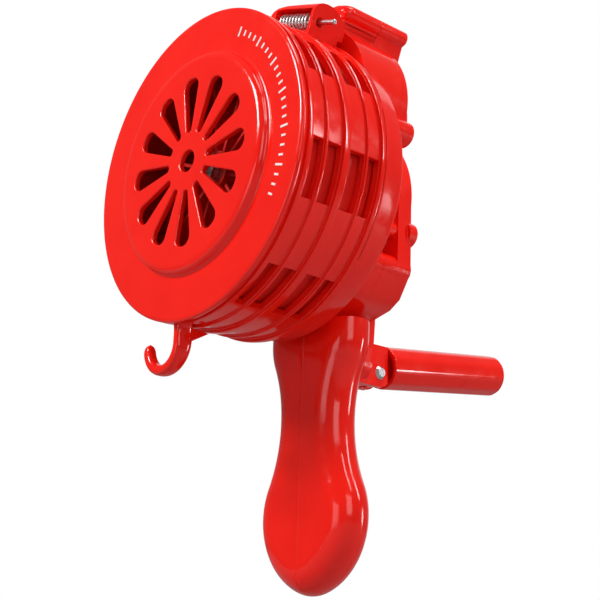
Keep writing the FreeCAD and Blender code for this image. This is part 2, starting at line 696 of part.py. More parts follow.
# crank: shaft in a long bush, arm with a fork, folding knuckle, turning grip
def make_crank():
    arm_front = D["armFront"]
    hub_radius = D["armHubRadius"]
    end_radius = D["armEndRadius"]
    length = D["crankLength"]
    pivot = D["rivetY"]
    end_z = 3.4 - length
    square = 8.4
    shaft = join(rod("Dims.crankShaftRadius", 102.6 - 77.0, (0, 77.0, 0)),
                 block((square, 107.0 - 102.0, square), (-square / 2, 102.0, -square / 2)))
    finish("crank_shaft", cut(shaft, rod(1.53, 40, (-20, 78.9, 0), "x"), rod(1.7, 12, (0, 96.0, 0))))
    bush = cut(rod(9.0, 11.2, (0, 90.5, 0)), rod("Dims.crankShaftRadius + Dims.running", 40, (0, 80, 0)))
    finish("crank_bushing", bush)
    spread = math.degrees(math.asin((hub_radius - end_radius) / -end_z))
    side_hub = at_angle(hub_radius, -spread)
    side_end = at_angle(end_radius, -spread)
    web = plate([(-side_hub[0], side_hub[1]), (side_hub[0], side_hub[1]),
                 (side_end[0], end_z + side_end[1]), (-side_end[0], end_z + side_end[1])],
                arm_front, "Dims.armThick")
    fork_end = pivot + 5.4
    bottom = -length - 7.2
    fork = block((13.0, fork_end - arm_front, 2 * end_radius), (-6.5, arm_front, bottom))
    corner = cut(block((15, 12, 9), (-7.5, pivot, bottom - 1.8)), rod(7.2, 30, (-15, pivot, -length), "x"))
    fork = cut(fork, corner)
    arm = join(web, rod("Dims.armHubRadius", "Dims.hubThick", (0, arm_front, 0)),
               rod("Dims.armEndRadius", "Dims.armThick", (0, arm_front, end_z)), fork)
    slot = block((6.6, 30, 40), (-3.3, pivot - 7.4, -length - 20))
    square_hole = block((square + 0.1, 20, square + 0.1), (-(square + 0.1) / 2, 95, -(square + 0.1) / 2))
    recess = rod(8.0, 10, (0, 107.2, 0))
    rivet_hole = rod("Dims.rivetRadius + 0.05", 40, (-20, pivot, -length), "x")
    finish("crank_arm", cut(arm, slot, square_hole, recess, rivet_hole))
    finish("crank_screw", join(rod(3.6, 2.3, (0, 108.3, 0)), rod(1.65, 11.0, (0, 97.4, 0))))
    finish("crank_washer", cut(rod(7.4, 0.9, (0, 107.3, 0)), rod(1.72, 3, (0, 106.5, 0))))
    finish("grip_rivet", join(rod("Dims.rivetRadius", 13.2, (-6.6, pivot, -length), "x"),
                              cone(3.4, 2.2, 1.3, (6.6, pivot, -length), "x"),
                              cone(2.2, 3.4, 1.3, (-7.9, pivot, -length), "x")))
    make_grip(pivot, length)


def make_grip(pivot, length):
    """Knuckle and turning sleeve; in their own frame the rivet is at the origin."""
    lean = Placement(Vector(0, pivot, -length), Rotation(Vector(1, 0, 0), D["gripLean"]))
    rise = D["gripOffset"]
    full = D["gripLength"]
    mouth = 7.6
    shoulder = 12.0
    tail = mouth + full - 2.6
    eye = rod(6.2, 5.8, (-2.9, 0, 0), "x")
    tongue = block((5.8, 13.5, 11.9), (-2.9, 0, -4.1))
    collar = rod(8.1, 3.6, (0, shoulder, rise))
    spindle = rod("Dims.spindleRadius", tail - shoulder, (0, shoulder, rise))
    knuckle = cut(join(eye, tongue, collar, spindle), rod("Dims.rivetRadius + 0.05", 10, (-5, 0, 0), "x"),
                  rod(1.25, 12, (0, tail - 10.0, rise)))
    finish("grip_knuckle", set_at(knuckle, lean))
    prism = doc.addObject("Part::Prism", fresh("sleeve"))
    prism.Polygon = 10
    prism.Circumradius = 11.3
    bind(prism, "Height", "Dims.gripLength")
    prism.Placement = Placement(Vector(0, mouth, rise),
                                Rotation(Vector(1, 0, 0), -90).multiply(Rotation(Vector(0, 0, 1), 18)))
    barrel = join(rod("Dims.gripRadius + 0.35", full - 2.6, (0, mouth, rise)),
                  cone(D["gripRadius"] + 0.35, D["gripRadius"] - 2.0, 2.6, (0, mouth + full - 2.6, rise)))
    sleeve = cut(overlap(prism, barrel), rod(8.5, shoulder + 4.0 - mouth + 0.2, (0, mouth - 0.2, rise)),
                 rod("Dims.spindleRadius + Dims.running", 110, (0, 5, rise)),
                 rod(7.0, 10, (0, tail - 0.2, rise)))
    finish("crank_grip", set_at(sleeve, lean))
    finish("grip_washer", set_at(cut(rod(6.4, 0.9, (0, tail + 0.1, rise)), rod(1.3, 3, (0, tail - 1, rise))), lean))
    finish("grip_screw", set_at(join(rod(2.6, 1.4, (0, tail + 1.0, rise)), rod(1.2, 9.0, (0, tail - 8.0, rise))), lean))


def set_at(obj, place):
    holder = doc.addObject("Part::Compound", fresh("set"))
    holder.Links = [obj]
    holder.Placement = place
    return holder


# brake: a steel push pin, its return spring and a finger that wedges on the rotor rim
def lug_frame():
    angle = math.radians(D["lugAngle"] - 90.0)
    return Placement(Vector(), Rotation(Vector(0, 1, 0), -math.degrees(angle)))


def make_brake():
    reach = D["pinReach"]
    y = D["pinY"]
    place = lug_frame()
    pin = join(rod("Dims.pinRadius", 43.2, (-15.6, y, reach), "x"), cone(1.3, 0.9, 0.4, (27.6, y, reach), "x"))
    finish("brake_pin", set_at(pin, place))
    strip = block((1.0, 2.0, reach - 68.85), (14.1, y - 1.0, 68.85))
    finger = cut(join(rod(5.0, 1.0, (14.1, y, reach), "x"), strip), rod(1.32, 4, (12.5, y, reach), "x"))
    finish("brake_finger", set_at(finger, place))
    finish("brake_spring", set_at(make_spring(-11.65, 14.05, (y, reach)), place))


def arc_from(start, tangent, end):
    """The circle arc that leaves start along the tangent and reaches end."""
    chord = end - start
    along = Vector(chord).normalize()
    side = tangent - along * tangent.dot(along)
    half_turn = math.atan2(side.Length, tangent.dot(along))
    height = chord.Length / 2.0 * math.tan(half_turn / 2.0)
    middle = start + chord * 0.5 + Vector(side).normalize() * height
    return Part.Arc(start, middle, end).toShape()


def biarc(start, start_dir, end, end_dir):
    """Two arcs with one tangent where they meet."""
    chord = end - start
    both = start_dir + end_dir
    lack = 2.0 * (1.0 - start_dir.dot(end_dir))
    part = chord.dot(both)
    reach = (-part + math.sqrt(part * part + lack * chord.dot(chord))) / lack
    meet = (start + end + (start_dir - end_dir) * reach) * 0.5
    first = arc_from(start, start_dir, meet)
    second = arc_from(end, end_dir * -1.0, meet)
    return [first, second]


def make_spring(start, end, axis_at):
    """One wire: short straight ends along the axis, quarter bends, then a helix."""
    radius = D["springRadius"]
    wire = D["springWire"]
    bend = 1.0
    helix_start = start + wire + bend
    helix_end = end - wire - bend
    turns = round((helix_end - helix_start) / D["springPitch"])
    rise = (helix_end - helix_start) / turns
    y0, z0 = axis_at

    def on_helix(turn):
        angle = 2 * math.pi * turn
        return Vector(helix_start + rise * turn, y0 + radius * math.cos(angle), z0 + radius * math.sin(angle))

    def heading(turn):
        angle = 2 * math.pi * turn
        way = Vector(rise, -2 * math.pi * radius * math.sin(angle), 2 * math.pi * radius * math.cos(angle))
        return way.normalize()

    low_foot = on_helix(0) - Vector(bend, 0, 0) - Vector(0, heading(0).y, heading(0).z) * bend
    high_foot = on_helix(turns) + Vector(bend, 0, 0) + Vector(0, heading(0).y, heading(0).z) * bend
    along = Vector(1, 0, 0)
    edges = [Part.LineSegment(Vector(start, low_foot.y, low_foot.z), low_foot).toShape()]
    edges += biarc(low_foot, along, on_helix(0), heading(0))
    for step in range(turns * 4):
        first = step / 4.0
        last = (step + 1) / 4.0
        edges += biarc(on_helix(first), heading(first), on_helix(last), heading(last))
    edges += biarc(on_helix(turns), heading(turns), high_foot, along)
    edges.append(Part.LineSegment(high_foot, Vector(end, high_foot.y, high_foot.z)).toShape())
    path = Part.Wire(Part.__sortEdges__(edges))
    section = Part.Wire([Part.Circle(Vector(start, low_foot.y, low_foot.z), along, wire / 2.0).toShape()])
    shell = Part.BRepOffsetAPI.MakePipeShell(path)
    shell.add(section)
    shell.build()
    shell.makeSolid()
    obj = doc.addObject("Part::Feature", fresh("coil"))
    obj.Shape = shell.shape()
    print("spring turns", turns, "rise", round(rise, 3), "least gap", round(least_gap(path, wire), 3))
    print("spring volume", round(obj.Shape.Volume, 2), "by length", round(path.Length * math.pi * wire * wire / 4, 2))
    return obj


def least_gap(path, wire):
    """Least distance between points of the path that lie over half a turn apart, less the wire."""
    points = path.discretize(Distance=0.4)
    skip = int(8.0 / 0.4)
    best = 1e9
    for index, point in enumerate(points):
        for other in points[index + skip:]:
            best = min(best, point.distanceToPoint(other))
    return best - wire


# screws
def screw(base, length, axis, shank=1.45, head=3.1, tall=2.0, flip=False):
    """Head at the base, shank running along the axis from it."""
    vector = {"x": Vector(1, 0, 0), "y": Vector(0, 1, 0)}[axis]
    sign = -1.0 if flip else 1.0
    origin = Vector(*base)
    if flip:
        shank_base = origin - vector * length
        head_base = origin
    else:
        shank_base = origin
        head_base = origin - vector * tall
    return join(rod(shank, length, tuple(shank_base), axis), rod(head, tall, tuple(head_base), axis))


def make_screws():
    cover = [screw((x, cover_face(x, z) - 2.55, z), 26.0, "y", flip=True)
             for x, z, r, end in POST_MIDDLE + POST_LOWER]
    finish("rear_cover_screws", collect(cover))
    lobe = [screw((x, cover_face(x, z) - 2.55, z), 12.0, "y", flip=True) for x, z, r, end in POST_UPPER]
    finish("lobe_screws", collect(lobe))
    middle = D["handleY"]
    handle = []
    for z, seat, length in ((-70.0, 14.0, 30.0), (-95.0, 14.0, 30.0), (-181.0, 11.0, 22.0)):
        handle.append(screw((-seat - 0.05, middle, z), length, "x", shank=1.5, head=2.9))
    finish("handle_screws", collect(handle))
    one = screw((61.5, D["drumRear"] - 2.55, 0), 5.4, "y", shank=1.15, head=2.4, tall=1.6)
    finish("drum_screws", collect(around(one, 6, start=15.0)))


make_front_cover()
make_drum()
make_hook()
make_gear_housing()
make_rear_cover()
make_handle_half(1)
make_handle_half(-1)
make_rotor()
make_gears()
make_crank()
make_brake()
make_screws()

# everything above is measured from the drum axis at the cover's rim;
# the finished pieces move together so that the origin is the middle of the hand grip
to_grip = Placement(Vector(0, -D["gripY"], -D["gripZ"]), Rotation())
for obj in finished.values():
    obj.Placement = to_grip.multiply(obj.Placement)
doc.recompute()

problems = []
for obj in doc.Objects:
    if "Invalid" in obj.State or "Error" in obj.State:
        problems.append("%s %s" % (obj.Name, obj.State))
for label, obj in sorted(finished.items()):
    shape = obj.Shape
    if shape.isNull() or not shape.isValid():
        problems.append("bad shape " + label)
    else:
        print(label, "solids", len(shape.Solids), "volume", round(shape.Volume, 1))
print("problems", problems)
if problems:
    raise SystemExit("part.py stops: " + "; ".join(problems))
for label, obj in finished.items():
    obj.Shape.exportStep("parts/%s.step" % label)
print("pieces", len(finished))
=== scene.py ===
import json
import math

import bmesh
import bpy
from mathutils import Matrix, Vector


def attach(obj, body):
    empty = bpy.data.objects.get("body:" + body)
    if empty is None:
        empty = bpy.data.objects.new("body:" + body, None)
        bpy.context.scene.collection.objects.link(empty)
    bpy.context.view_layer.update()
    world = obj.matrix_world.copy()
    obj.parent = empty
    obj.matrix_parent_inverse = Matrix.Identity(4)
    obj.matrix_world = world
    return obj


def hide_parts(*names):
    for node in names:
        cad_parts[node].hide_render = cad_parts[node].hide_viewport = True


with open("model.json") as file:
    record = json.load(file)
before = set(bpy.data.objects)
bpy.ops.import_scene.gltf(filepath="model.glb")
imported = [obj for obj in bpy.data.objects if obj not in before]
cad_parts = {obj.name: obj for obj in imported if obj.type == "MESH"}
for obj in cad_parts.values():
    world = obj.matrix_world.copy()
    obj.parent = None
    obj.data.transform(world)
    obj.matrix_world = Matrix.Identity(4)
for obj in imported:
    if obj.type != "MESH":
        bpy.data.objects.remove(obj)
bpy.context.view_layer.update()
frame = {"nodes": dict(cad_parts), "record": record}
print("frame loaded")

# shapes below are drawn in millimetres from the drum's axis at the cover's rim, then moved to the frame
drumToFrame = Matrix.Translation((0, -0.0825, 0.120)) @ Matrix.Scale(0.001, 4)


# ---- materials
class Flow:
    def __init__(self, tree, socket):
        self.tree = tree
        self.socket = socket

    def maths(self, operation, *values):
        node = self.tree.nodes.new("ShaderNodeMath")
        node.operation = operation
        for place, value in enumerate(values):
            if isinstance(value, Flow):
                self.tree.links.new(value.socket, node.inputs[place])
            else:
                node.inputs[place].default_value = value
        return Flow(self.tree, node.outputs[0])

    def __add__(self, other):
        return self.maths("ADD", self, other)

    def __radd__(self, other):
        return self.maths("ADD", other, self)

    def __sub__(self, other):
        return self.maths("SUBTRACT", self, other)

    def __mul__(self, other):
        return self.maths("MULTIPLY", self, other)

    def __rmul__(self, other):
        return self.maths("MULTIPLY", other, self)


class Paint:
    def __init__(self, name):
        self.material = bpy.data.materials.new(name)
        self.material.use_nodes = True
        self.tree = self.material.node_tree
        self.shader = self.tree.nodes["Principled BSDF"]

    def node(self, kind, settings=None, out=0, **sockets):
        # a socket is given by its name, or by its number as in0, in1 and so on
        node = self.tree.nodes.new(kind)
        for key, value in (settings or {}).items():
            setattr(node, key, value)
        for key, value in sockets.items():
            socket = node.inputs[int(key[2:]) if key.startswith("in") else key.replace("_", " ")]
            if isinstance(value, Flow):
                self.tree.links.new(value.socket, socket)
            else:
                socket.default_value = value
        return Flow(self.tree, node.outputs[out])

    def place(self):
        return self.node("ShaderNodeTexCoord", out=3)

    def noise(self, scale, detail, roughness=0.5):
        return self.node("ShaderNodeTexNoise", Vector=self.place(), Scale=scale, Detail=detail,
                         Roughness=roughness)

    def between(self, value, low, high, first, last):
        return self.node("ShaderNodeMapRange", in0=value, in1=low, in2=high, in3=first, in4=last)

    def mix(self, factor, first, second):
        return self.node("ShaderNodeMix", {"data_type": "RGBA"}, out=2, in0=factor,
                         in6=(*first, 1.0), in7=(*second, 1.0))

    def feed(self, **sockets):
        for key, value in sockets.items():
            socket = self.shader.inputs[key.replace("_", " ")]
            if isinstance(value, Flow):
                self.tree.links.new(value.socket, socket)
            elif isinstance(value, tuple) and len(value) == 3:
                socket.default_value = (*value, 1.0)
            else:
                socket.default_value = value
        return self.material

    def bump(self, height, strength, distance):
        return self.node("ShaderNodeBump", Strength=strength, Distance=distance, Height=height)


# scales are per metre, as noise texture scales in object coordinates
plasticLooks = {
    "deep": (0.84, 0.006, 0.002), "bright": (0.93, 0.012, 0.004), "cloudScale": 38.0,
    "roughness": 0.14, "smudge": 0.14, "smudgeScale": 130.0, "refraction": 1.46,
    "waveScale": 260.0, "grainScale": 2600.0, "waveShare": 0.7, "grainShare": 0.3,
    "bump": 0.35, "peel": 0.00003}
metalLooks = {"stainScale": 420.0, "stained": 0.72, "scratchScale": 1900.0, "smoother": -0.07,
              "rougher": 0.09, "bump": 0.3, "depth": 0.00004}
mouldedLooks = {"cloudScale": 60.0, "clouded": 0.85, "grainScale": 2200.0, "smoother": -0.05, "rougher": 0.06,
                "bump": 0.25, "depth": 0.00005}


def makeRedPlastic(name, looks):
    paint = Paint(name)
    clouds = paint.noise(looks["cloudScale"], 4.0)
    smears = paint.noise(looks["smudgeScale"], 5.0, 0.6)
    grain = paint.noise(looks["grainScale"], 2.0)
    waves = paint.noise(looks["waveScale"], 2.0)
    colour = paint.mix(paint.between(clouds, 0.3, 0.7, 0.35, 1.0), looks["deep"], looks["bright"])
    smudges = paint.between(smears, 0.35, 0.7, 0.0, looks["smudge"])
    roughness = looks["roughness"] - looks["smudge"] * 0.5 + smudges
    height = waves * looks["waveShare"] + grain * looks["grainShare"]
    return paint.feed(Base_Color=colour, Roughness=roughness, IOR=looks["refraction"],
                      Normal=paint.bump(height, looks["bump"], looks["peel"]))


def makeMetal(name, colour, roughness):
    looks = metalLooks
    paint = Paint(name)
    stains = paint.noise(looks["stainScale"], 4.0)
    scratches = paint.noise(looks["scratchScale"], 3.0)
    stained = tuple(looks["stained"] * channel for channel in colour)
    tone = paint.mix(paint.between(stains, 0.3, 0.7, 0.0, 1.0), stained, colour)
    wear = paint.between(scratches, 0.3, 0.7, looks["smoother"], looks["rougher"])
    return paint.feed(Base_Color=tone, Metallic=1.0, Roughness=roughness + wear,
                      Normal=paint.bump(scratches, looks["bump"], looks["depth"]))


def makeMoulded(name, colour, roughness):
    looks = mouldedLooks
    paint = Paint(name)
    clouds = paint.noise(looks["cloudScale"], 3.0)
    grain = paint.noise(looks["grainScale"], 2.0)
    clouded = tuple(looks["clouded"] * channel for channel in colour)
    tone = paint.mix(paint.between(clouds, 0.3, 0.7, 0.0, 1.0), clouded, colour)
    wear = paint.between(grain, 0.3, 0.7, looks["smoother"], looks["rougher"])
    return paint.feed(Base_Color=tone, Roughness=roughness + wear,
                      Normal=paint.bump(grain, looks["bump"], looks["depth"]))


printWhite = makeMoulded("printWhite", (0.86, 0.85, 0.83), 0.5)
redPlastic = makeRedPlastic("redPlastic", plasticLooks)
rotorPlastic = makeMoulded("rotorPlastic", (0.80, 0.012, 0.006), 0.34)
gearPlastic = makeMoulded("gearPlastic", (0.80, 0.77, 0.70), 0.42)
steel = makeMetal("zincSteel", (0.66, 0.66, 0.67), 0.30)
springSteel = makeMetal("springSteel", (0.86, 0.85, 0.84), 0.34)
bearingSteel = makeMetal("bearingSteel", (0.72, 0.72, 0.73), 0.16)
bronze = makeMetal("bronze", (0.72, 0.48, 0.24), 0.36)
slotLooks = {"red_plastic": redPlastic, "rotor_plastic": rotorPlastic, "gear_plastic": gearPlastic,
             "steel": steel, "bearing_steel": bearingSteel, "bronze": bronze}
slotOf = {entry["node"]: entry["material_slot"] for entry in frame["record"]["subparts"]}
bodyOf = {node: body for body, nodes in frame["record"]["behaviour"]["bodies"].items() for node in nodes}
for node, obj in frame["nodes"].items():
    look = slotLooks[slotOf[node]]
    obj.data.materials.clear()
    obj.data.materials.append(look)
frame["nodes"]["brake_spring"].data.materials[0] = springSteel
print("materials made")


# ---- mesh helpers
def settle(bm, name, material, body, *stands, crease=38.0, cutters=None):
    # faces meeting at more than the crease angle keep a crisp edge
    for edge in bm.edges:
        if len(edge.link_faces) == 2 and edge.calc_face_angle(0.0) > math.radians(crease):
            edge.smooth = False
    for face in bm.faces:
        face.smooth = True
    mesh = bpy.data.meshes.new(name)
    bm.to_mesh(mesh)
    bm.free()
    mesh.materials.append(material)
    obj = bpy.data.objects.new(name, mesh)
    bpy.context.scene.collection.objects.link(obj)
    tool = None
    if cutters is not None and cutters.faces:
        toolMesh = bpy.data.meshes.new(name + "Cutters")
        cutters.to_mesh(toolMesh)
        tool = bpy.data.objects.new(name + "Cutters", toolMesh)
        bpy.context.scene.collection.objects.link(tool)
        drill = obj.modifiers.new("drill", "BOOLEAN")
        drill.operation = "DIFFERENCE"
        drill.solver = "EXACT"
        drill.object = tool
    weighted = obj.modifiers.new("weighted", "WEIGHTED_NORMAL")
    weighted.keep_sharp = True
    weighted.weight = 50
    done = bpy.data.meshes.new_from_object(obj.evaluated_get(bpy.context.evaluated_depsgraph_get()))
    obj.modifiers.clear()
    obj.data = done
    done.name = name
    if tool is not None:
        bpy.data.objects.remove(tool)
    if cutters is not None:
        cutters.free()
    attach(obj, body)
    if stands:
        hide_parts(*stands)
    return obj


def mergedCopy(node):
    bm = bmesh.new()
    bm.from_mesh(frame["nodes"][node].data)
    bmesh.ops.remove_doubles(bm, verts=bm.verts, dist=0.000004)
    bmesh.ops.dissolve_limit(bm, angle_limit=math.radians(0.6), verts=bm.verts, edges=bm.edges)
    return bm


def roundEdges(bm, radius, angle, segments=3, within=None):
    # within is a test on an edge's middle, in the drum's millimetres
    toDrum = drumToFrame.inverted()
    sharp = [edge for edge in bm.edges
             if len(edge.link_faces) == 2 and edge.calc_face_angle(0.0) > math.radians(angle)
             and (within is None or within(toDrum @ ((edge.verts[0].co + edge.verts[1].co) / 2)))]
    bmesh.ops.bevel(bm, geom=sharp, offset=radius / 1000, offset_type="OFFSET", segments=segments,
                    profile=0.5, affect="EDGES", clamp_overlap=True, material=-1)


def softened(node, name, radius, angle=32.0, segments=3, first=None, cutters=None):
    # a merged copy of a CAD piece with its sharp edges rounded, some of them more than the rest
    bm = mergedCopy(node)
    if first is not None:
        roundEdges(bm, first["radius"], first["angle"], first["segments"], first["within"])
    roundEdges(bm, radius, angle, segments)
    return settle(bm, name, slotLooks[slotOf[node]], bodyOf[node], node, cutters=cutters)


# ---- front cover
coverLooks = {
    "flatTo": 48.3, "face": -4.0, "slots": 12, "slotNear": 14.3, "slotFar": 41.2, "nearHalf": 1.5,
    "farHalf": 5.8,
    "nearCorner": 1.4, "farCorner": 4.3, "eye": 5.25, "lip": 0.75, "thick": 2.6, "around": 240,
    # radius and depth of the turned outside, from the flat of the raised middle to its back
    "outside": ((49.4, -3.98), (50.4, -3.88), (51.3, -3.62), (52.1, -3.15), (52.65, -2.5), (52.95, -1.75),
                (53.15, -1.0), (53.5, -0.4), (54.1, -0.08), (54.9, 0.0), (60.0, 0.0), (72.9, 0.0),
                (73.9, 0.08), (74.6, 0.4), (74.93, 0.95), (75.0, 1.5), (75.0, 2.25), (74.75, 2.6),
                (72.0, 2.6), (70.0, 2.6), (70.0, 6.2), (69.7, 6.5), (68.1, 6.5), (67.8, 6.2),
                (67.8, 2.6), (52.4, 2.6), (50.4, -1.0))}


def turnedRing(bm, radius, depth, steps):
    flat = Matrix.Translation((0, depth, 0)) @ Matrix.Rotation(math.radians(90), 4, "X")
    made = bmesh.ops.create_circle(bm, segments=steps, radius=radius, matrix=flat)
    return loopEdges(made["verts"])


def loopEdges(verts):
    verts = set(verts)
    return list({edge for vert in verts for edge in vert.link_edges if edge.other_vert(vert) in verts})


def slotRing(bm, looks, grow, depth, turn):
    # a wedge with four round corners, one growth outside its outline
    lean = math.atan2(looks["farHalf"] - looks["nearHalf"], looks["slotFar"] - looks["slotNear"])
    far, near = looks["farCorner"], looks["nearCorner"]
    farX = looks["slotFar"] - far
    farZ = looks["nearHalf"] + (-far + (farX - looks["slotNear"]) * math.sin(lean)) / math.cos(lean)
    nearX = looks["slotNear"] + near
    nearZ = looks["nearHalf"] + (-near + near * math.sin(lean)) / math.cos(lean)
    tilt = math.pi / 2 + lean
    corners = ((farX, farZ, far, tilt, 0.0), (farX, -farZ, far, 0.0, -tilt),
               (nearX, -nearZ, near, -tilt, -math.pi), (nearX, nearZ, near, math.pi, tilt))
    verts = []
    for x, z, radius, first, last in corners:
        for step in range(7):
            angle = first + (last - first) * step / 6
            reach = radius + grow
            spot = Vector((x + reach * math.cos(angle), depth, z + reach * math.sin(angle)))
            verts.append(bm.verts.new(Matrix.Rotation(turn, 3, "Y") @ spot))
    return [bm.edges.new((verts[i], verts[(i + 1) % len(verts)])) for i in range(len(verts))]


def bridgeAll(bm, rings):
    for first, second in zip(rings, rings[1:]):
        bmesh.ops.bridge_loops(bm, edges=first + second)


def makeCover(looks):
    bm = bmesh.new()
    face, back = looks["face"], looks["face"] + looks["thick"]
    lip = looks["lip"]
    # growth outside the outline against depth: a quarter round, then the straight wall
    steps = [(lip * (1 - math.sin(a)), face + lip * (1 - math.cos(a)))
             for a in (0.0, math.pi / 8, math.pi / 4, 3 * math.pi / 8, math.pi / 2)] + [(0.0, back)]
    front, behind = [], []
    for index in range(looks["slots"]):
        turn = 2 * math.pi * index / looks["slots"]
        rings = [slotRing(bm, looks, grow, depth, turn) for grow, depth in steps]
        bridgeAll(bm, rings)
        front += rings[0]
        behind += rings[-1]
    eye = [turnedRing(bm, looks["eye"] + grow, depth, 48) for grow, depth in steps]
    bridgeAll(bm, eye)
    line = [bm.verts.new((radius, depth, 0))
            for radius, depth in ((looks["flatTo"], face),) + looks["outside"] + ((48.0, back),)]
    edges = [bm.edges.new(pair) for pair in zip(line, line[1:])]
    before = set(bm.edges) - set(edges)
    bmesh.ops.spin(bm, geom=line + edges, cent=(0, 0, 0), axis=(0, 1, 0), angle=math.radians(360),
                   steps=looks["around"], use_merge=True, use_duplicate=False)
    outside = [[], []]
    for edge in bm.edges:
        if edge not in before and len(edge.link_faces) == 1:
            outside[0 if edge.verts[0].co.y < face + 0.1 else 1].append(edge)
    bmesh.ops.triangle_fill(bm, use_beauty=True, edges=front + eye[0] + outside[0])
    bmesh.ops.triangle_fill(bm, use_beauty=True, edges=behind + eye[-1] + outside[-1])
    bmesh.ops.transform(bm, matrix=drumToFrame, verts=bm.verts)
    bmesh.ops.recalc_face_normals(bm, faces=bm.faces)
    return settle(bm, "slottedCover", redPlastic, "housing", "front_cover")


# ---- drum: one turned wall with ribs; the windows are opened in its grid
drumLooks = {
    "bore": 70.2, "wall": 73.4, "rim": 75.0, "rear": 50.6,
    "ribs": ((14.6, 16.2, 74.6), (25.1, 29.0, 75.0), (39.1, 40.4, 74.6)),
    "windowRows": ((8.4, 14.2), (16.6, 24.7), (29.6, 38.7), (41.0, 47.6)),
    "windowMiddles": (33.5, -14.5, -60.5, 213.5, 165.5, 119.5), "halfArc": 10.5, "edge": 0.25}


def drumProfile(looks):
    wall, rim, rear = looks["wall"], looks["rim"], looks["rear"]
    levels = sorted(level for row in looks["windowRows"] for level in row)
    outside = [(wall - 0.2, 2.7), (wall - 0.2, 4.1), (wall + 0.1, 4.4), (rim - 0.5, 4.4), (rim - 0.14, 4.55),
               (rim, 4.9), (rim, 6.5), (rim - 0.14, 6.86), (rim - 0.5, 7.0), (wall + 0.4, 7.05), (wall, 7.4)]
    for start, end, top in looks["ribs"]:
        turn = min(0.55, (end - start) / 2 - 0.05)
        outside += [(wall, level) for level in levels if outside[-1][1] < level < start - 0.1]
        outside += [(wall, start - 0.25), (wall + 0.25, start), (top - turn, start),
                    (top - 0.3 * turn, start + 0.3 * turn), (top, start + turn), (top, end - turn),
                    (top - 0.3 * turn, end - 0.3 * turn), (top - turn, end), (wall + 0.25, end),
                    (wall, end + 0.25)]
    outside += [(wall, level) for level in levels if outside[-1][1] < level < 48.0]
    outside += [(wall, 47.8), (wall + 0.2, 48.0), (rim - 0.5, 48.0), (rim - 0.14, 48.14), (rim, 48.5),
                (rim, rear - 0.5), (rim - 0.14, rear - 0.14), (rim - 0.5, rear), (57.0, rear),
                (57.0, rear - 2.5)]
    depths = [rear - 2.5] + levels[::-1] + [2.7]
    return outside + [(looks["bore"], depth) for depth in depths]


def windowAt(looks, spot):
    angle = math.degrees(math.atan2(spot.z, spot.x)) % 360
    for row, (start, end) in enumerate(looks["windowRows"]):
        if start - 0.01 <= spot.y <= end + 0.01:
            for middle in looks["windowMiddles"]:
                if abs((angle - middle + 180) % 360 - 180) <= looks["halfArc"] + 0.01:
                    return row, middle
    return None


def makeDrum(looks):
    bm = bmesh.new()
    verts = [bm.verts.new((radius, depth, 0)) for radius, depth in drumProfile(looks)]
    edges = [bm.edges.new((verts[i], verts[(i + 1) % len(verts)])) for i in range(len(verts))]
    bmesh.ops.spin(bm, geom=verts + edges, cent=(0, 0, 0), axis=(0, 1, 0), angle=math.radians(360), steps=360,
                   use_merge=True, use_duplicate=False)
    bmesh.ops.remove_doubles(bm, verts=bm.verts, dist=0.001)
    bmesh.ops.recalc_face_normals(bm, faces=bm.faces)
    opened = []
    for face in bm.faces:
        middle = face.calc_center_median()
        reach = math.hypot(middle.x, middle.z)
        onWall = min(abs(reach - looks["wall"]), abs(reach - looks["bore"])) < 0.08
        if onWall and abs(face.normal.y) < 0.1 and windowAt(looks, middle):
            opened.append(face)
    bmesh.ops.delete(bm, geom=opened, context="FACES")
    groups = {}
    for edge in bm.edges:
        if len(edge.link_faces) == 1:
            middle = (edge.verts[0].co + edge.verts[1].co) / 2
            groups.setdefault(windowAt(looks, middle), []).append(edge)
    rims = []
    for group in groups.values():
        rims += [edge for edge in group if math.hypot(edge.verts[0].co.x, edge.verts[0].co.z) > 72]
        bmesh.ops.bridge_loops(bm, edges=group)
    bmesh.ops.bevel(bm, geom=rims, offset=looks["edge"], offset_type="OFFSET", segments=2, profile=0.5,
                    affect="EDGES", clamp_overlap=True, material=-1)
    bmesh.ops.transform(bm, matrix=drumToFrame, verts=bm.verts)
    bmesh.ops.recalc_face_normals(bm, faces=bm.faces)
    print("drum windows", len(groups))
    return settle(bm, "windowedDrum", redPlastic, "housing", "stator_drum")


# ---- brake lug: the arch over the spring, cut out of a copy of the CAD drum
lugLooks = {"outside": 76.0, "skirtTo": 71.5, "rounding": 1.0}


def makeLug(looks):
    bm = mergedCopy("stator_drum")
    toDrum = drumToFrame.inverted()
    keep = set()
    for face in bm.faces:
        spots = [toDrum @ vert.co for vert in face.verts]
        if any(math.hypot(spot.x, spot.z) > looks["outside"] for spot in spots):
            keep.add(face)
    bmesh.ops.delete(bm, geom=[face for face in bm.faces if face not in keep], context="FACES")
    rims = [edge for edge in bm.edges if len(edge.link_faces) == 1]
    grown = bmesh.ops.extrude_edge_only(bm, edges=rims)["geom"]
    for vert in (item for item in grown if isinstance(item, bmesh.types.BMVert)):
        spot = toDrum @ vert.co
        reach = math.hypot(spot.x, spot.z)
        spot.x, spot.z = spot.x * looks["skirtTo"] / reach, spot.z * looks["skirtTo"] / reach
        vert.co = drumToFrame @ spot
    roundEdges(bm, looks["rounding"], 30.0)
    return settle(bm, "springArch", redPlastic, "housing")


